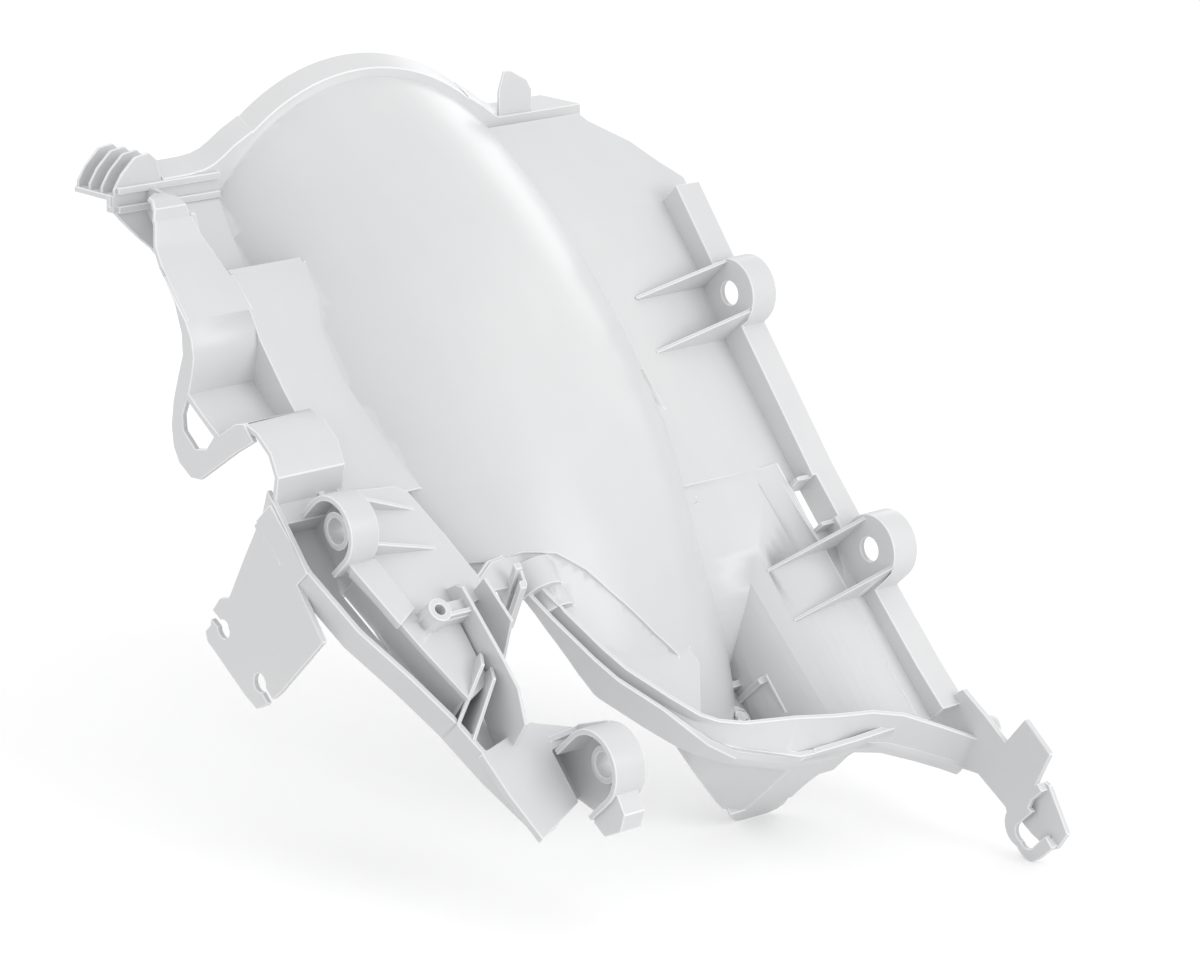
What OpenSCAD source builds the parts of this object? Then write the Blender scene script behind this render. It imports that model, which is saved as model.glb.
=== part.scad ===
// Airbox lower half: a one-piece moulding with a wheel-arch hump, a drain basin,
// screw ears, clip blocks, hose hooks and an end hook. Units are millimetres.
// Row frame: X forward, Y left, Z up, origin in the centre of the rear left ear bore.
// The drawing frame has its origin on the wheel axis, which is parallel to Y. Inside
// seal() the frame is turned about that axis: s runs forward and down along the
// sealing plane, y runs left and n stands up from the sealing plane.

/* [Wall] */
// Wall thickness of the moulding
wall = 2.5; // [2:0.1:3]
// Thickness of ribs, gussets and tabs
rib = 1.6; // [1.2:0.1:2.4]

/* [Wheel arch] */
// Radius from the wheel axis to the crest of the hump
arch_r = 367; // [364:0.5:370]
// Radius of the hump in cross section
sect_r = 104; // [102:0.5:106]
// Half of the width of the hump
hump_half = 76; // [74:0.5:78]
// How far forward of the wheel axis the hump ends at its rear rim
rear_x = 170; // [168:0.5:172]
// Height of the rear rim above the hump
rim_h = 3.5; // [2.5:0.1:5]
// Width of the rear rim
rim_w = 10.5; // [8:0.5:14]

/* [Sealing plane] */
// Slope of the sealing plane below the horizontal
seal_tilt = 47.2; // [46.5:0.1:48]
// Top of the left flange strip at its rear end, above the wheel axis
strip_n = 352; // [350:0.5:354]
// Width of the flange strips and of the hoods on them
strip_w = 14; // [12:0.5:16]
// Distance of the left flange's riser from the middle of the hump
left_y = 128; // [126:0.5:130]

/* [Ears] */
// Outer radius of the ears
ear_r = 15.5; // [14:0.25:17]
// Diameter of the screw holes in the ears
ear_hole = 10.8; // [9:0.1:12]
// Position of the rear left ear along the sealing plane
ear1_s = 13.5; // [11:0.5:16]
// Distance between the two left ears
ear_gap = 132.5; // [131:0.5:134]
// Height of the left ear bores
ear_n = 349; // [347:0.5:350]
// Length of the gussets behind the left ears
gusset_l = 40; // [34:1:42]

/* [Right wing] */
// Position of the front hood's screw hole along the sealing plane
hood1_s = 80; // [78:0.5:82]
// Position of the end hood's screw hole along the sealing plane
hood2_s = 207; // [205:0.5:209]
// Diameter of the screw hole in the small boss
boss_hole = 4.8; // [4:0.1:5.5]
// Width of the slots in the hose hooks
slot_w = 8; // [6:0.25:9]

/* [Basin] */
// Level of the basin's floor
floor_n = 284; // [280:0.5:286]
// Position of the basin's front wall
front_s = 222; // [220:0.5:224]
// Depth of the skirt under the front lip
skirt_n = 322; // [319:0.5:325]
// Radius of the rounded shoulder between left land and basin
shoulder_r = 42; // [40:0.5:44]

/* [Hidden] */
tray_sink = 1.2;
$fn = 64;
ear2_s = ear1_s + ear_gap;
land_n = 336;
far_land = 332;
hood_n = 345;
rho0 = arch_r - sect_r;

// ---- frames and small helpers
module seal() rotate([0, seal_tilt, 0]) children();
module along_y(a, b) translate([0, b, 0]) rotate([90, 0, 0]) linear_extrude(b - a) children();
module along_s(a, b) translate([a, 0, 0]) rotate([90, 0, 90]) linear_extrude(b - a) children();
module along_n(a, b) translate([0, 0, a]) linear_extrude(b - a) children();
// a sheet under a top line of points
module sheet(p, t = wall) polygon(concat(p, [for (i = [len(p) - 1 : -1 : 0]) p[i] - [0, t]]));
// the area under a top line, down to one level
module under(p, base) polygon(concat(p, [[p[len(p) - 1][0], base], [p[0][0], base]]));
// outline of an ear: a round top on a straight foot
module ear2d(s, n, r, base) {
  translate([s, n]) circle(r);
  translate([s - r, base]) square([2 * r, n - base]);
}
// a wall of thickness t along a line of points seen from above
function unit(v) = v / norm(v);
function side(a, b) = unit([a[1] - b[1], b[0] - a[0]]);
function beside(p, i, d) = let (m = len(p) - 1, n1 = side(p[max(i - 1, 0)], p[max(i, 1)]),
    n2 = side(p[min(i, m - 1)], p[min(i + 1, m)]), n = unit(n1 + n2)) p[i] + n * d / (n * n1);
module run(p, t) polygon(concat([for (i = [0 : len(p) - 1]) beside(p, i, t / 2)],
    [for (i = [len(p) - 1 : -1 : 0]) beside(p, i, -t / 2)]));
// a solid skin over a row of rings, each with the same number of points
module loft(r) {
  k = len(r[0]);
  polyhedron([for (g = r) for (p = g) p], concat(
    [[for (j = [0 : k - 1]) j]],
    [for (i = [0 : len(r) - 2]) for (j = [0 : k - 1]) let (a = i * k + j, b = i * k + (j + 1) % k)
      each [[a, a + k, b + k], [a, b + k, b]]],
    [[for (j = [k - 1 : -1 : 0]) (len(r) - 1) * k + j]]));
}

// ---- wheel arch
module hump_ring(r_out, r_in, half = hump_half) rotate([90, 0, 0])
  rotate_extrude(start = 5, angle = 70, $fn = 128)
    intersection() {
      difference() {
        translate([rho0, 0]) circle(r_out, $fn = 128);
        translate([rho0, 0]) circle(r_in, $fn = 128);
      }
      translate([rho0, -half]) square([sect_r + 20, 2 * half]);
    }
module arch_void() rotate([90, 0, 0]) rotate_extrude(start = 0, angle = 90, $fn = 128) {
  intersection() {
    translate([rho0, 0]) circle(sect_r - wall / 2, $fn = 128);
    translate([rho0 - 1, 1 - hump_half]) square([sect_r + 20, 2 * hump_half - 2]);
  }
  translate([rho0 - 60, 1 - hump_half]) square([61, 2 * hump_half - 2]);
}
// the space under the right shelf and left of the basin, where the hump has no wall
module under_shelf() {
  seal() intersection() {
    shelf_frame() translate([-12.5, -60, -120]) cube([130.5, 160, 120 - wall / 2]);
    along_s(60, 260) polygon([[-100, 400], [-74, 400], [left_at(floor_n - 60), floor_n - 60],
        [-100, floor_n - 60]]);
  }
}
module hump() {
  difference() {
    hump_ring(sect_r, sect_r - wall);
    translate([-50, -150, 0]) cube([50 + rear_x - rim_w, 300, 500]);
    under_shelf();
    // shallow recess in which the shelf lies, sunk into the hump's skin
    intersection() {
      hump_ring(sect_r + 5, sect_r - tray_sink);
      seal() along_n(250, 380) polygon([[101, -62], [105, -53], [107, -40], [112, -27], [122, -16], [133, -7],
        [152, 11], [162, 23], [167, 24], [200, 24], [200, -90], [101, -90]]);
    }
    seal() translate([0, -150, 0]) cube([400, 300, floor_n - wall / 2]);
    seal() translate([front_s - wall / 2, -150, 0]) cube([200, 300, 500]);
  }
  intersection() {
    hump_ring(sect_r + rim_h, sect_r - wall);
    translate([rear_x - rim_w, -hump_half, 200]) cube([rim_w, 2 * hump_half, 200]);
  }
  // the hump's right side goes on down into the valley
  intersection() {
    hump_ring(sect_r, sect_r - wall, 92);
    seal() translate([-98, -92, 317.3]) cube([98 - 45, 17.7, 40]);
    translate([rear_x - 3, -100, 0]) cube([100, 60, 500]);
  }
  // the rim runs out to the clip blocks on both sides
  intersection() {
    rotate([90, 0, 0]) rotate_extrude(start = 50, angle = 20, $fn = 128) {
      polygon([[353.3, 59], [348.9, 69], [345.4, 75], [343, 80], [341.7, 85], [341, 92], [340.8, 106], [334, 106],
        [333, 76], [338, 59]]);
      polygon([[353.3, -59], [349, -67], [344.5, -74], [342, -79], [340.5, -86], [340, -92], [333, -92], [333, -76],
        [340, -59]]);
    }
    translate([rear_x - rim_w, -120, 200]) cube([rim_w, 240, 200]);
  }
}

// ---- left side: panel, riser, strip, ears, gussets and pocket
left_panel = [[-97, 331], [-75, 335], [-58, 338], [-42, 340], [-8, 339], [10, 335], [29, 332],
              [95, 330], [130, far_land], [222, far_land + 0.5]];
left_strip = [[-42, strip_n], [-6, 349], [33, 345.5], [101, 340.5], [166, 340], [200, 340.5], [222, 342]];
module left_ears(r, base) {
  ear2d(ear1_s, ear_n, r, base);
  ear2d(ear2_s, ear_n, r, base);
}
module left_bores() along_y(left_y - 1, left_y + strip_w + 1) {
  translate([ear1_s, ear_n]) circle(ear_hole / 2);
  translate([ear2_s, ear_n]) circle(ear_hole / 2);
}
module left_riser2d(top, r) {
  under(top, 325);
  left_ears(r, 325);
}
module left_flange() {
  difference() {
    along_y(left_y, left_y + strip_w) difference() {
      left_riser2d(left_strip, ear_r);
      translate([0, -wall]) under([for (p = left_strip) p + [(p[0] < -40) ? wall : 0, 0]], 300);
      left_ears(ear_r - wall, 300);
    }
  }
  // riser plate, from the panel up to the strip and the ears
  difference() {
    along_y(left_y, left_y + wall) difference() {
      left_riser2d(left_strip, ear_r);
      translate([0, -wall]) under([for (p = left_panel) p], 300);
    }
    left_bores();
  }
}
module gusset(s, n0, n1, y1, l) {
  // a thin triangle standing on the panel behind an ear
  along_s(s - rib / 2, s + rib / 2) polygon([[y1 + 1, n0 - 1], [y1 + 1, n1], [y1 - l, n0], [y1 - l, n0 - 1]]);
}
module left_gussets() {
  gusset(ear1_s - 12, 338, 358, left_y, gusset_l);
  gusset(ear1_s + 13, 333, 356, left_y, gusset_l);
  // those behind the front ear follow the rounded shoulder
  for (s = [ear2_s - 12, ear2_s + 13]) along_s(s - rib / 2, s + rib / 2) difference() {
    polygon([[left_y + 1, far_land - 4], [left_y + 1, 357], [left_y - gusset_l + 6, 323],
      [left_y - gusset_l + 6, 312], [left_y - 6, 312]]);
    translate([79 + shoulder_r, far_land - shoulder_r]) circle(shoulder_r - 1);
  }
}
module left_plan() polygon([[-97, 50], [-97, 117], [-92, 119], [-77, 133], [-62, 141], [-52, 148], [-47, 147],
    [-45, 133], [-42, 133], [-42, left_y + wall], [222, left_y + wall], [222, 50]]);
module pocket_out() translate([101, 116]) square([25, 16]);
module pocket_in() translate([103, 118]) square([21, 12]);
module left_side() {
  difference() {
    union() {
      intersection() {
        along_y(60, 150) sheet(left_panel);
        along_n(300, 360) left_plan();
      }
      along_n(326, 338) pocket_out();
    }
    basin_space(0);
    along_n(300, 345) pocket_in();
  }
  difference() {
    left_flange();
    along_n(300, 345) pocket_in();
  }
  left_gussets();
}

// ---- basin: rounded shoulder on the left, rounded slope at the rear, flat floor
back_r = 80;
function left_at(n) = 1 + (325 - n) * 1.02;
module basin_air_y(d) {
  // seen along s: open space over the shoulder, floor and right slope
  c = [79 + shoulder_r, far_land - shoulder_r];
  difference() {
    polygon([[left_at(floor_n - d) - d, floor_n - d], [c[0], floor_n - d], [c[0], far_land - d * 0],
      [c[0] + 2, 420], [left_at(420) - d, 420]]);
    translate(c) circle(shoulder_r - d);
    translate([c[0] - 1, c[1]]) square([20, shoulder_r - d]);
  }
}
module basin_air_s(d) {
  // seen along y: open space in front of the rear slope and behind the front wall
  difference() {
    translate([90, floor_n - d]) square([front_s + 20 - 90, 420 - floor_n + d]);
    translate([90, 330 - back_r]) circle(back_r - d);
  }
}
module basin_plan() polygon([[60, -90], [150, -28], [184, -6], [196, 1], [209, 21], [front_s - 0.5, 52],
    [front_s, 60], [front_s, 170], [60, 170]]);
module basin_space(d) intersection() {
  along_s(80, 300) basin_air_y(d);
  along_y(-60, 160) basin_air_s(d);
  along_n(200, 500) offset(delta = d - wall) basin_plan();
}
module basin() difference() {
  intersection() {
    basin_space(wall);
    translate([80, -60, floor_n - 10]) cube([200, 200, far_land - floor_n + 10 - 0.01]);
  }
  basin_space(0);
  // no basin wall stands above the shelf
  shelf_frame() translate([0, 0, -wall / 2]) linear_extrude(40) translate([10, -2]) square([58, 62]);
}

// ---- tray lip along the front: [s, y, width, depth of the groove, band's lower edge, skirt's lower edge]
lip = [[112, -46, 5, 1, 328, 322], [118, -41, 5, 1, 328, 322], [136, -34, 5, 1, 328, 322],
       [156, -25, 5, 1, 328, 322], [167, -19, 5, 1, 328, 322], [184, -5, 5, 1, 328, 322],
       [195, 5, 5, 0.7, 328, 322], [200, 13, 6, 0.3, 328, 322], [204, 25, 9, 0, 327.5, 322],
       [208, 52, 14.5, 0, 327, 322], [212, 72, 11.5, 0, 326, 321.5], [215, 92, 7.8, 0, 323.5, 320],
       [220, 107, 7, 0, 323.5, 320], [229, 122, 6, 0, 323.5, 320], [236, 133, 5.5, 0, 323.5, 320],
       [241, 140.5, 5.5, 0, 323.5, 320]];
function lip_dir(i) = let (a = lip[max(i - 1, 0)], b = lip[min(i + 1, len(lip) - 1)])
  unit([b[1] - a[1], a[0] - b[0]]);
function lip_ring(i) = let (p = lip[i], d = lip_dir(i), w = p[2], g = p[3], f = 1 - g, b = p[4])
  [for (q = [[-1.8, 333 + 2 * f], [-1.8, 341], [0, 341], [0, 334.5 * g + 340.3 * f],
      [w - 2, 334.5 * g + (b + 3) * f], [w - 2, 338 * g + (b + 3.2) * f], [w, 338 * g + b * f], [w, p[5]],
      [w - wall, p[5]], [w - wall, 331 * g + (b - wall) * f]]) [p[0] + d[0] * q[0], p[1] + d[1] * q[0], q[1]]];
module tray_lip() loft([for (i = [0 : len(lip) - 1]) lip_ring(i)]);
// the front wall of the basin with its stepped lower edge
module front_wall() along_s(front_s - wall, front_s) polygon([[54, 330], [54, floor_n - wall],
    [75, floor_n - wall], [77, 302], [92, 302], [91, 318], [108, 318], [122, skirt_n], [122, 334], [100, 334]]);
// hollow foot under the lowest corner of the basin, open towards the rear
foot_n = 269;
module foot() difference() {
  along_s(203, front_s) polygon([[45, floor_n - 1], [50.5, foot_n + 7], [56, foot_n + 2], [62, foot_n + 0.4],
    [76, foot_n], [80.5, foot_n + 2], [82, foot_n + 6], [79.5, floor_n - 1]]);
  along_s(200, front_s - wall) polygon([[51, floor_n - 3.6], [54, foot_n + 7.5], [58, foot_n + 3.8],
    [63, foot_n + 2.6], [75.5, foot_n + 2.2], [78.6, foot_n + 4], [79.4, foot_n + 7], [77.6, floor_n - 3.6]]);
}
// small things in the basin: stepped boss, dome, ledge and stop
module basin_items() {
  translate([184, 69, floor_n - 1]) cylinder(h = 6, r = 6.6);
  translate([184, 69, floor_n - 1]) cylinder(h = 9, r = 3);
  intersection() {
    translate([190, 77, floor_n]) sphere(r = 3.8);
    translate([180, 60, floor_n - 1]) cube(20);
  }
  translate([167, 63, floor_n - 1]) cube([3, 17, 7]);
  translate([164, 71, floor_n - 1]) cube([4, 3, 5]);
  // bracket on the foot of the shoulder: a short leg down to the floor
  along_s(173, 176) polygon([[78, floor_n - 1], [78, 302], [84, 306], [90, 304], [90, floor_n - 1]]);
  along_s(173, 192) polygon([[81, 301], [81, 304.5], [88, 308], [90, 304], [86, 300]]);
}

// ---- shelf between the hump and the right part of the lip
module shelf_frame() translate([118, -41, 338]) rotate([-6.8, 5.7, 0]) children();
shelf_rear = [[-5, -26], [-11.2, -15.5], [-12.2, -6.8], [-12.2, 20]];
module shelf() shelf_frame() {
  translate([0, 0, -wall]) linear_extrude(wall)
    polygon(concat(shelf_rear, [[-12.2, 60], [50, 75], [84, 56], [78, 47], [66, 36], [49, 22], [38, 16],
      [18, 7], [0, 0], [1, -8], [1, -26]]));
  // rear wall of the shelf, down to the hump
  translate([0, 0, -22]) linear_extrude(21) run(shelf_rear, wall);
}

// ---- right wing
wing_top = [[-93, 330], [-88, 336], [-83, 342], [-77, 345.5], [-71, 345], [-64, 340.5], [-55, 338.2], [-28, 338], [-20, 336],
            [-14, 332], [-9, 325], [-5, 318], [7, 320.5], [19, 323]];
land_top = [[-45, 338], [-28, 338], [-14, 335], [10, 334], [30, 335], [66, land_n]];
side_out = [[-50, 338], [-38, 337], [-26, 332], [-19, 326], [-15, 318], [-9, 307], [-2, 298], [5, 293],
            [12, 291.5], [21, 294], [25, 299], [30, 329], [33, 342]];
module right_panel() {
  // strip towards the clip block and the outer part of the wide panel
  intersection() {
    along_y(-140, -100) sheet(wing_top);
    along_n(300, 360) polygon([[-93, -117], [-88, -125.5], [-80, -131], [-73, -135], [-62, -137], [-45, -137.5],
      [24, -138], [24, -105], [-45, -105], [-45, -107], [-57, -110], [-64, -113], [-72, -117.5], [-84, -116],
      [-90, -114.5]]);
  }
  // inner part of the wide panel
  along_y(-106.6, -60) sheet(land_top);
  // valley between the hump and the strip behind the wide panel
  along_y(-114, -74.8) polygon([[-99, 318], [-45, 320], [-45, 317.5], [-99, 315.5]]);
  along_y(-114.5, -112) polygon([[-99, 315.5], [-45, 317.5], [-45, 337], [-64, 338], [-74, 342], [-88, 333],
    [-99, 325]]);
  along_s(-45 - wall, -45) polygon([[-114, 317.5], [-74.8, 317.5], [-70, 338], [-112, 338]]);
  // wall between both panels, closing the dip
  along_y(-106.6, -105) polygon([[-20, 335], [-14, 334], [24, 334], [24, 320], [-6, 315]]);
}
module right_side_plate() along_y(-139, -139 + wall) difference() {
  polygon(concat([for (p = side_out) p], [[24, 342], [21, 337], [18.5, 324], [7, 320.5], [-5, 318],
      [-9, 325], [-14, 332], [-20, 336], [-28, 338]]));
  polygon([[-4, 315], [17, 320], [18, 312], [14, 305.5], [4, 304], [-1, 308]]);
}
module hood(s, y0, y1, n, r, base, hole, face_y) {
  difference() {
    union() {
      along_y(y0, y1) difference() {
        ear2d(s, n, r, base);
        ear2d(s, n, r - wall, base - 10);
      }
      along_y(face_y, face_y + wall) ear2d(s, n, r, base);
    }
    along_y(y0 - 1, y1 + 1) translate([s, n]) circle(hole / 2);
  }
}
// bush of a screw hole
module bush(s, n, y0, y1) difference() {
  along_y(y0, y1) translate([s, n]) circle(8);
  along_y(y0 - 1, y1 + 1) translate([s, n]) circle(ear_hole / 2);
}
// half round hood behind the front hood, open below
hood0_line = [[18, 318], [20, 334], [23, 341], [31, 346], [42, 348], [52, 345], [59, 335], [68, 335], [68, 318]];
module hood0() {
  along_y(-138, -104) difference() {
    polygon(hood0_line);
    offset(delta = -wall) polygon(concat([[18, 290]], hood0_line, [[68, 290]]));
  }
  along_y(-104 - wall, -104) polygon(hood0_line);
}
wing_out = [[58, -139], [91, -137], [120, -128], [145, -115], [167, -105], [190, -97], [221, -83]];
wing_in = [[97, -116.5], [126, -108], [160, -97]];
module wing_plan() polygon([[62, -111], [98, -124], [124, -113.5], [136, -109.6], [163, -99.6], [157, -86],
    [126, -86], [122, -72], [113, -66], [91, -72], [69, -79], [65, -84]]);
module right_wing() {
  // raised panel between the hump and the strip
  difference() {
    along_n(339, 342) wing_plan();
    along_y(-130, -104) translate([hood1_s, hood_n]) circle(ear_hole / 2 + 0.6);
  }
  // two slanted gussets behind the hood, both beside its bore
  for (g = [[69, 8], [91.5, 4]]) translate([hood1_s - 80 + g[0], -115, 0]) rotate([0, 0, -atan(g[1] / 36)])
    along_s(-rib / 2, rib / 2) polygon([[0, 338], [0, hood_n + 7], [36, 342], [36, 338]]);
  along_n(332, 342) intersection() {
    wing_plan();
    run([[62, -84], [65, -83], [69, -79], [91, -72], [113, -66], [120, -66]], 5);
  }
  along_n(316, 341) run([[90, -73], [113, -67.2]], wall);
  // strip in front of the hood and its inner wall
  along_n(341, 345) polygon([[95, -125.5], [98, -124.7], [125.7, -116], [120, -105.7], [95, -112]]);
  along_n(skirt_n, 342) run(wing_in, wall);
  // channel floor, outer wall and rear end
  along_n(skirt_n, skirt_n + wall) polygon([[67, -139], [91, -137], [120, -128], [145, -115], [167, -105],
    [190, -97], [190, -72], [160, -72], [150, -100], [126, -112], [98, -120], [67, -110]]);
  along_n(skirt_n, 335) run(wing_out, wall);
  along_s(58, 60.5) polygon([[-139, 318], [-139, 335], [-104, 335], [-104, 318]]);
  along_y(-116.5, -114) polygon([[58, 318], [58, 337], [98, 337], [98, 318]]);
}
// plate that hangs down outside, with two open hooks
module hose_plate() along_y(-139, -139 + wall) difference() {
  polygon([[52, 336], [57, 327], [64, 303], [71, 281], [68, 275], [69, 267], [73, 261], [73, 256], [77, 254],
    [85, 256], [107, 261], [115, 264], [117, 271], [118, 283], [117, 324], [91, 326], [91, 335]]);
  translate([79, 268]) circle(slot_w / 2);
  translate([79, 268]) rotate(197) translate([0, -2]) square([14, 4]);
  translate([108, 274]) circle(slot_w / 2);
  translate([108, 274]) rotate(4) translate([0, -2]) square([14, 4]);
}
module upright() {
  // long upright plate and the diamond plate beside it
  along_y(-85, -85 + rib) polygon([[113, 338], [116, 349], [119, 352], [153, 354], [168, 354], [181, 348],
    [184, 336], [184, 322], [150, 330], [125, 338]]);
  along_y(-72, -72 + rib) polygon([[117, 351], [139, 354], [149, 337], [149, 322], [119, 322]]);
  along_n(322, 324.5) polygon([[116, -112], [116, -70.4], [150, -70.4], [184, -72], [184, -100], [150, -110]]);
  // small boss with its screw hole and the hook wall beside it
  difference() {
    union() {
      along_n(336, 352) translate([126, -100]) circle(5.2);
      along_n(336, 348) translate([122, -100]) square([8, 16]);
      along_n(336, 351) translate([127.5, -99]) square([2, 14.5]);
    }
    along_n(343, 353) translate([126, -100]) circle(boss_hole / 2);
  }
  // two cross ribs in the channel end
  for (q = [[153, -91, -39], [160, -89, -34]]) translate([q[0], q[1], 0]) rotate([90, 0, q[2]])
    linear_extrude(rib) polygon([[-8, 322], [-8, 346], [0, 350], [21.5, 335.5], [21.5, 322]]);
  // end wall
  along_s(182, 182 + wall) polygon([[-100, 322], [-99.5, 334], [-66, 334], [-66, 322]]);
}
// round boss and V ribs at the start of the lip
module lip_start() {
  // round boss in two steps, standing on the shelf
  intersection() {
    union() {
      along_s(111, 124) translate([-36, 336]) circle(9.5);
      along_s(123, 133) translate([-31.5, 333.7]) circle(8);
    }
    translate([100, -60, 333.6]) cube([50, 50, 20]);
  }
  // post with a groove between its two edges, and its foot on the lip
  along_y(-53, -49.5) polygon([[113, 349], [116, 349], [125.5, 329], [122.5, 329]]);
  along_y(-53, -49.5) polygon([[120.5, 347.5], [123.5, 346], [132, 326], [129, 326]]);
  along_y(-50.5, -49) polygon([[114, 348.2], [122.5, 346.5], [131, 326.5], [123, 327.5]]);
  along_y(-52, -38) polygon([[113.6, 330], [113.6, 337], [122, 337], [122, 330]]);
}
module end_hood() {
  hood(hood2_s, -68, -52, 350, 16.5, 336, ear_hole, -52 - wall);
  bush(hood2_s, 350, -60, -52);
  // plate that carries the end hood, and the walls around its cavity
  along_n(331.5, 335) polygon([[176, -72], [183.5, -101], [204, -98], [225, -93], [214, -68], [190, -68], [186, -52],
    [183, -52]]);
  along_y(-70, -67.5) polygon([[184, 318], [184, 334], [213, 334], [210, 318]]);
  along_s(184, 184 + wall) polygon([[-70, 318], [-70, 334], [-52, 340], [-52, 318]]);
  along_y(-52 - wall, -52) difference() {
    polygon([[184, 318], [184, 340], [192, 358], [221, 358], [224, 338], [219, 326], [207, 318]]);
    translate([hood2_s, 350]) circle(ear_hole / 2);
  }
  along_n(318, 320.5) polygon([[184, -70], [184, -52], [207, -52], [214, -70]]);
  // outer leg with its small tab
  along_y(-66, -55) polygon([[221, 340], [221, 356], [231, 354], [235, 347], [232, 337], [224, 335]]);
}

// ---- clip blocks at the rear end, in the wheel frame
module clip_fin(x) translate([x, 0, 0]) rotate([90, 0, 90]) linear_extrude(rib)
  polygon([[131, 291], [131, 294], [127, 300], [120, 306.5], [113, 307.5], [109, 304], [107, 295], [107, 291]]);
module right_clip() mirror([0, 1, 0]) {
  translate([rear_x - 28, 80, 289]) cube([28, 52, wall]);
  translate([rear_x - 5, 80, 284]) cube([5, 52, 6]);
  // rear wall between the hump and the strip, with a slanting outer edge
  translate([rear_x - 3, 0, 0]) rotate([90, 0, 90]) linear_extrude(wall)
    polygon([[76, 251], [76, 292], [133, 292], [133, 287], [127, 280], [119, 272], [112, 266], [104, 256],
      [98, 251]]);
  for (z = [284, 292]) translate([rear_x - 1, 78, z]) cube([3, 52, 3]);
  for (i = [0 : 3]) clip_fin(rear_x - rib - i * 8.7);
}
module left_clip() {
  translate([rear_x - 28, 70, 296]) cube([28, 54, wall]);
  translate([rear_x - 6, 70, 289]) cube([6, 54, 9]);
  translate([rear_x - rib - 2, 0, 0]) rotate([90, 0, 90]) linear_extrude(rib)
    polygon([[78, 290], [78, 309], [81, 318], [85, 318], [94, 313], [97, 308], [97, 290]]);
}

// ---- left arm with tabs and end hook
module left_arm() {
  // arm with a pointed tab, a four sided tab and the open hook at its end
  along_y(138, 138 + wall) polygon([[214, 322], [218, 348], [233, 352], [248, 355], [246, 372], [265, 375],
    [271, 359], [273, 357], [278, 345], [278, 333],
    [270, 336], [251, 331], [241, 320], [230, 320]]);
  along_y(138, 138 + wall) difference() {
    union() {
      translate([281, 339]) circle(10);
      translate([288, 339.5]) circle(9);
      translate([289, 339]) square([8, 10]);
    }
    translate([283.5, 338]) circle(4.3);
    translate([287, 338.5]) circle(4.3);
    translate([279.2, 338]) square([11.8, 30]);
  }
  // plate beside the hook
  along_y(138, 144.5) polygon([[269, 352], [271, 360], [275, 360], [275, 351]]);
  along_y(142, 144.5) polygon([[270, 352], [271, 360], [274, 361.5], [295.5, 357], [297.5, 347], [293, 341.5],
    [285, 338], [279, 336.5], [275, 339], [273, 343]]);
  along_y(138, 144.5) polygon([[292.5, 344.5], [292.5, 349], [296.6, 349], [296.6, 344.5]]);
  // ring boss on the back of the arm
  difference() {
    along_y(139, 145) translate([237, 347]) circle(4.5);
    along_y(141, 146) translate([237, 347]) circle(2.2);
  }
}
// thin raised line along the crease between the hump and the left land
crease = [[36, 69, 340], [56, 79, 329], [80, 75, 329], [98, 70, 329], [118, 67, 322], [133, 73, 309], [160, 78, 289]];
module crease_line() loft([for (p = crease) [p + [0, -1.5, -3], p + [0, 2, -3], p + [0, 0.3, 0.8]]]);

module moulding() color([0.93, 0.93, 0.94])
translate([-(ear1_s * cos(seal_tilt) + ear_n * sin(seal_tilt)), -(left_y + wall / 2),
    ear1_s * sin(seal_tilt) - ear_n * cos(seal_tilt)]) {
  difference() {
    union() {
      seal() {
        left_side();
        basin();
        shelf();
        tray_lip();
        front_wall();
        right_panel();
        right_wing();
      }
    }
    arch_void();
  }
  hump();
  seal() {
    right_side_plate();
    hood(hood1_s, -128, -114, hood_n, ear_r, 335, ear_hole, -114 - wall);
    bush(hood1_s, hood_n, -124, -114);
    hood0();
    hose_plate();
    upright();
    lip_start();
    end_hood();
    left_arm();
    basin_items();
    foot();
    crease_line();
  }
  right_clip();
  left_clip();
}

moulding();
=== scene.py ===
import math

import bmesh
import bpy
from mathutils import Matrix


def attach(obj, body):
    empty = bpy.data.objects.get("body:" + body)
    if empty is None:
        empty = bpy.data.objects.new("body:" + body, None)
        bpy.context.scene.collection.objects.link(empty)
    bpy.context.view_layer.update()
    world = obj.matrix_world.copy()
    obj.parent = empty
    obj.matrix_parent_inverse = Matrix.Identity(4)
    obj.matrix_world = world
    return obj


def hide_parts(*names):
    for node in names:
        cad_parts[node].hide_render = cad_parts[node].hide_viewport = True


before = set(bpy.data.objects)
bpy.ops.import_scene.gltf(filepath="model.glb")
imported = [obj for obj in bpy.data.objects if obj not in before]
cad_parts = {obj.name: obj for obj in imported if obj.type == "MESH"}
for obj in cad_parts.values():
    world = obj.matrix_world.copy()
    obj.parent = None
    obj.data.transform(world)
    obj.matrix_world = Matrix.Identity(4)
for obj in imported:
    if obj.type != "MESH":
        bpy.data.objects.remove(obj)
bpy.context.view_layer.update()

# The moulding: one injection moulded shell of stiff, pale plastic, with ribs, ears and
# hooks grown out of the same wall. Its outer edges are rounded by the tool, and its
# faces have the fine satin grain of a spark-eroded mould.
def finish(name, inputs, output, kind):
    group = bpy.data.node_groups.new(name, "ShaderNodeTree")
    for title in inputs:
        group.interface.new_socket(
            name=title, in_out="INPUT", socket_type="NodeSocketFloat")
    group.interface.new_socket(name=output, in_out="OUTPUT", socket_type=kind)
    given = group.nodes.new("NodeGroupInput")
    out = group.nodes.new("NodeGroupOutput")
    return group, group.nodes, group.links, given, out


# the tone of the melt, with the flow lines of the filling mould
melt_dark = (0.655, 0.66, 0.669, 1)
melt_light = (0.713, 0.715, 0.721, 1)
tone_group, nodes, links, given, out = finish(
    "melt_tone", ["Lift"], "Base Color", "NodeSocketColor")
place = nodes.new("ShaderNodeTexCoord")
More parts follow.
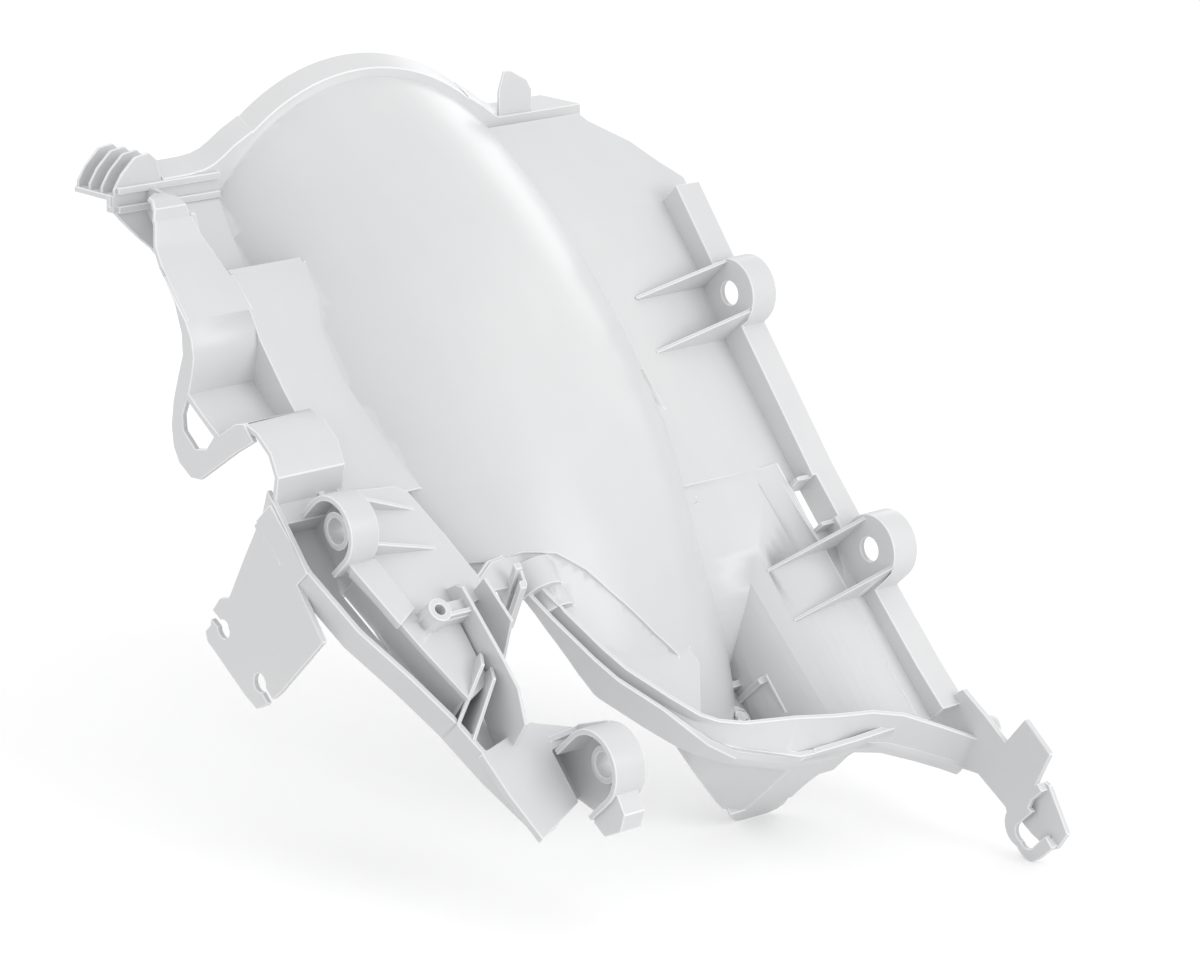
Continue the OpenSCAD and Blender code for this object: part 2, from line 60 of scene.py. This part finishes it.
# it drifts slowly, as the melt cools unevenly over the large faces
drift = nodes.new("ShaderNodeTexNoise")
drift.inputs["Scale"].default_value = 7.0
drift.inputs["Detail"].default_value = 3.0
links.new(place.outputs["Object"], drift.inputs["Vector"])
tone = nodes.new("ShaderNodeValToRGB")
tone.color_ramp.elements[0].position = 0.3
tone.color_ramp.elements[0].color = melt_dark
tone.color_ramp.elements[1].position = 0.7
tone.color_ramp.elements[1].color = melt_light
links.new(drift.outputs["Fac"], tone.inputs["Fac"])
# the flow lines are stretched along the part and hardly to be seen
stretch = nodes.new("ShaderNodeMapping")
stretch.inputs["Scale"].default_value = (14.0, 55.0, 22.0)
links.new(place.outputs["Object"], stretch.inputs["Vector"])
flow = nodes.new("ShaderNodeTexNoise")
flow.inputs["Scale"].default_value = 1.0
flow.inputs["Detail"].default_value = 2.0
links.new(stretch.outputs["Vector"], flow.inputs["Vector"])
veil = nodes.new("ShaderNodeMapRange")
veil.inputs["To Min"].default_value = 0.975
veil.inputs["To Max"].default_value = 1.02
links.new(flow.outputs["Fac"], veil.inputs["Value"])
lifted = nodes.new("ShaderNodeMath")
lifted.operation = "MULTIPLY"
links.new(veil.outputs["Result"], lifted.inputs[0])
links.new(given.outputs["Lift"], lifted.inputs[1])
streaked = nodes.new("ShaderNodeVectorMath")
streaked.operation = "SCALE"
links.new(tone.outputs["Color"], streaked.inputs[0])
links.new(lifted.outputs["Value"], streaked.inputs["Scale"])
links.new(streaked.outputs["Vector"], out.inputs["Base Color"])

# the satin gloss, uneven in small patches
gloss_group, nodes, links, given, out = finish(
    "satin_gloss", ["Smoothest", "Roughest"], "Roughness", "NodeSocketFloat")
place = nodes.new("ShaderNodeTexCoord")
patches = nodes.new("ShaderNodeTexNoise")
patches.inputs["Scale"].default_value = 24.0
patches.inputs["Detail"].default_value = 4.0
links.new(place.outputs["Object"], patches.inputs["Vector"])
gloss = nodes.new("ShaderNodeMapRange")
links.new(given.outputs["Smoothest"], gloss.inputs["To Min"])
links.new(given.outputs["Roughest"], gloss.inputs["To Max"])
links.new(patches.outputs["Fac"], gloss.inputs["Value"])
links.new(gloss.outputs["Result"], out.inputs["Roughness"])

# the slight waviness of thin walls, under the fine grain of the mould
wave_depth = 0.0006
grain_depth = 0.0003
grain_group, nodes, links, given, out = finish(
    "mould_grain", ["Waviness", "Grain"], "Normal", "NodeSocketVector")
place = nodes.new("ShaderNodeTexCoord")
waves = nodes.new("ShaderNodeTexNoise")
waves.inputs["Scale"].default_value = 30.0
waves.inputs["Detail"].default_value = 1.0
links.new(place.outputs["Object"], waves.inputs["Vector"])
sink = nodes.new("ShaderNodeBump")
links.new(given.outputs["Waviness"], sink.inputs["Strength"])
sink.inputs["Distance"].default_value = wave_depth
links.new(waves.outputs["Fac"], sink.inputs["Height"])
grain = nodes.new("ShaderNodeTexNoise")
grain.inputs["Scale"].default_value = 1500.0
grain.inputs["Detail"].default_value = 2.0
links.new(place.outputs["Object"], grain.inputs["Vector"])
relief = nodes.new("ShaderNodeBump")
links.new(given.outputs["Grain"], relief.inputs["Strength"])
relief.inputs["Distance"].default_value = grain_depth
links.new(grain.outputs["Fac"], relief.inputs["Height"])
links.new(sink.outputs["Normal"], relief.inputs["Normal"])
links.new(relief.outputs["Normal"], out.inputs["Normal"])


# the plastic of the faces, and the same plastic, lighter, on the rounded edges: a
# painted highlight for the light that the edges catch
def satin(name, values):
    plastic = bpy.data.materials.new(name)
    plastic.use_nodes = True
    nodes, links = plastic.node_tree.nodes, plastic.node_tree.links
    skin = nodes["Principled BSDF"]
    skin.inputs["Specular IOR Level"].default_value = 0.5
    skin.inputs["IOR"].default_value = 1.49
    for tree, socket in (
        (tone_group, "Base Color"),
        (gloss_group, "Roughness"),
        (grain_group, "Normal"),
    ):
        group = nodes.new("ShaderNodeGroup")
        group.node_tree = tree
        for title in group.inputs.keys():
            group.inputs[title].default_value = values[title]
        links.new(group.outputs[socket], skin.inputs[socket])
    return plastic


satin_face = {
    "Lift": 1.0, "Smoothest": 0.24, "Roughest": 0.36, "Waviness": 0.25, "Grain": 0.07}
face_plastic = satin("satin_pale_plastic", satin_face)
# the edge plastic is the face plastic painted lighter, a painted highlight along the
# rounded edges
painted_highlight_edge_plastic = satin("satin_pale_plastic_painted_highlight_edge", {**satin_face, "Lift": 1.26})

# the wall: a merged copy of the drawn solid, in which flat faces are whole again
merge_gap = 0.00002
shortest_edge = 0.00003
flat_angle = math.radians(0.02)
round_angle = math.radians(35)
edge_round = 0.00045
smooth_angle = math.radians(30)
bpy.ops.object.select_all(action="DESELECT")
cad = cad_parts["moulding"]
shell = cad.copy()
shell.data = cad.data.copy()
shell.name = "airbox_shell"
shell.data.name = "airbox_shell"
bpy.context.collection.objects.link(shell)
shell.parent = None
bpy.context.view_layer.objects.active = shell
shell.select_set(True)
bpy.ops.object.mode_set(mode="EDIT")
bpy.ops.mesh.select_mode(type="VERT")
bpy.ops.mesh.select_all(action="SELECT")
bpy.ops.mesh.remove_doubles(threshold=merge_gap)
bpy.ops.mesh.dissolve_degenerate(threshold=shortest_edge)
bpy.ops.mesh.dissolve_limited(angle_limit=flat_angle)
bpy.ops.object.mode_set(mode="OBJECT")
shell.data.materials.clear()
shell.data.materials.append(face_plastic)
shell.data.materials.append(painted_highlight_edge_plastic)
# only edges that stand out are rounded, as the sharp inner corners stay in shadow
skin = bmesh.new()
skin.from_mesh(shell.data)
share = skin.edges.layers.float.new("bevel_weight_edge")
for edge in skin.edges:
    if len(edge.link_faces) == 2 and edge.calc_face_angle_signed() > round_angle:
        edge[share] = 1.0
skin.to_mesh(shell.data)
skin.free()
rounding = shell.modifiers.new("rounded edges", "BEVEL")
rounding.width = edge_round
rounding.segments = 2
rounding.limit_method = "WEIGHT"
# the rounded edge faces take the lighter plastic, a painted highlight
rounding.material = 1
rounding.use_clamp_overlap = False
bpy.ops.object.modifier_apply(modifier="rounded edges")
bpy.ops.object.shade_smooth_by_angle(angle=smooth_angle)
even = shell.modifiers.new("even faces", "WEIGHTED_NORMAL")
even.keep_sharp = True
bpy.ops.object.modifier_apply(modifier="even faces")
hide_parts("moulding")
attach(shell, "root")

# The table it stands on: a sheet of white paper, tilted so that it touches the foot of
# the basin and the arm's hook, and wide enough to leave the picture on every side.
foot_point = (0.083, -0.060, -0.2073)
paper_tilt = (math.radians(-1.0), math.radians(5.1), 0)
paper_white = (0.82, 0.82, 0.82, 1)
paper_glow = 0.17
bpy.ops.mesh.primitive_plane_add(size=30, location=foot_point)
floor = bpy.context.active_object
floor.name = "floor"
floor.rotation_euler = paper_tilt
paper = bpy.data.materials.new("white_paper")
paper.use_nodes = True
nodes, links = paper.node_tree.nodes, paper.node_tree.links
matt = nodes["Principled BSDF"]
matt.inputs["Base Color"].default_value = paper_white
matt.inputs["Roughness"].default_value = 0.9
matt.inputs["Specular IOR Level"].default_value = 0.1
# a faint glow that only the camera sees bleaches the paper without lighting the part
glow = nodes.new("ShaderNodeEmission")
seen = nodes.new("ShaderNodeLightPath")
bleach = nodes.new("ShaderNodeMath")
bleach.operation = "MULTIPLY"
bleach.inputs[1].default_value = paper_glow
links.new(seen.outputs["Is Camera Ray"], bleach.inputs[0])
links.new(bleach.outputs[0], glow.inputs["Strength"])
both = nodes.new("ShaderNodeAddShader")
links.new(matt.outputs[0], both.inputs[0])
links.new(glow.outputs[0], both.inputs[1])
links.new(both.outputs[0], nodes["Material Output"].inputs["Surface"])
floor.data.materials.append(paper)

# Light of a product studio: an even white tent, a little brighter overhead, and three
# weak soft boxes, low behind the part and at its right and left, that shape the hump.
tent_low, tent_high = 0.91, 0.96
backdrop = 1.0
room = bpy.context.scene.world or bpy.data.worlds.new("room")
bpy.context.scene.world = room
room.use_nodes = True
nodes, links = room.node_tree.nodes, room.node_tree.links
nodes.clear()
air = nodes.new("ShaderNodeBackground")
air.inputs["Color"].default_value = (1, 1, 1, 1)
out = nodes.new("ShaderNodeOutputWorld")
sky = nodes.new("ShaderNodeTexCoord")
height = nodes.new("ShaderNodeSeparateXYZ")
links.new(sky.outputs["Generated"], height.inputs[0])
tent = nodes.new("ShaderNodeMapRange")
tent.inputs["From Min"].default_value = 0.0
tent.inputs["From Max"].default_value = 0.9
tent.inputs["To Min"].default_value = tent_low
tent.inputs["To Max"].default_value = tent_high
links.new(height.outputs["Z"], tent.inputs["Value"])
seen = nodes.new("ShaderNodeLightPath")
level = nodes.new("ShaderNodeMix")
links.new(seen.outputs["Is Camera Ray"], level.inputs["Factor"])
links.new(tent.outputs["Result"], level.inputs["A"])
level.inputs["B"].default_value = backdrop
links.new(level.outputs["Result"], air.inputs["Strength"])
links.new(air.outputs[0], out.inputs[0])

middle = (0.05376, -0.12325, -0.05522)
box_distance = 1.7


# a point at a distance from the part's middle, by the angles that the camera uses
def around(azimuth, elevation, distance):
    turn, rise = math.radians(azimuth), math.radians(elevation)
    reach = distance * math.cos(rise)
    step = (reach * math.sin(turn), -reach * math.cos(turn), distance * math.sin(rise))
    return tuple(middle[i] + step[i] for i in range(3))


def facing_middle(azimuth, elevation):
    return (math.radians(90 - elevation), 0, math.radians(azimuth))


for name, azimuth, elevation, size, power in (
    ("back_box", 205, 16, 0.9, 3),
    ("right_box", 108, 20, 0.9, 7.5),
    ("left_box", 289, 24, 1.0, 5),
):
    lamp = bpy.data.lights.new(name, "AREA")
    lamp.shape = "SQUARE"
    lamp.size = size
    lamp.energy = power
    box = bpy.data.objects.new(name, lamp)
    box.location = around(azimuth, elevation, box_distance)
    box.rotation_euler = facing_middle(azimuth, elevation)
    bpy.context.collection.objects.link(box)

# The camera: a long lens that looks down a little at the part from its front right, on
# a small format, with no lens distortion and nothing out of focus.
view_azimuth, view_elevation, view_distance = 49, 15.7, 1.875
lens = bpy.data.cameras.new("camera")
lens.sensor_width = 36
lens.lens = 135
lens.clip_end = 50
camera = bpy.data.objects.new("camera", lens)
camera.location = around(view_azimuth, view_elevation, view_distance)
camera.rotation_euler = facing_middle(view_azimuth, view_elevation)
bpy.context.collection.objects.link(camera)
bpy.context.scene.camera = camera
bpy.context.scene.view_settings.view_transform = "Standard"
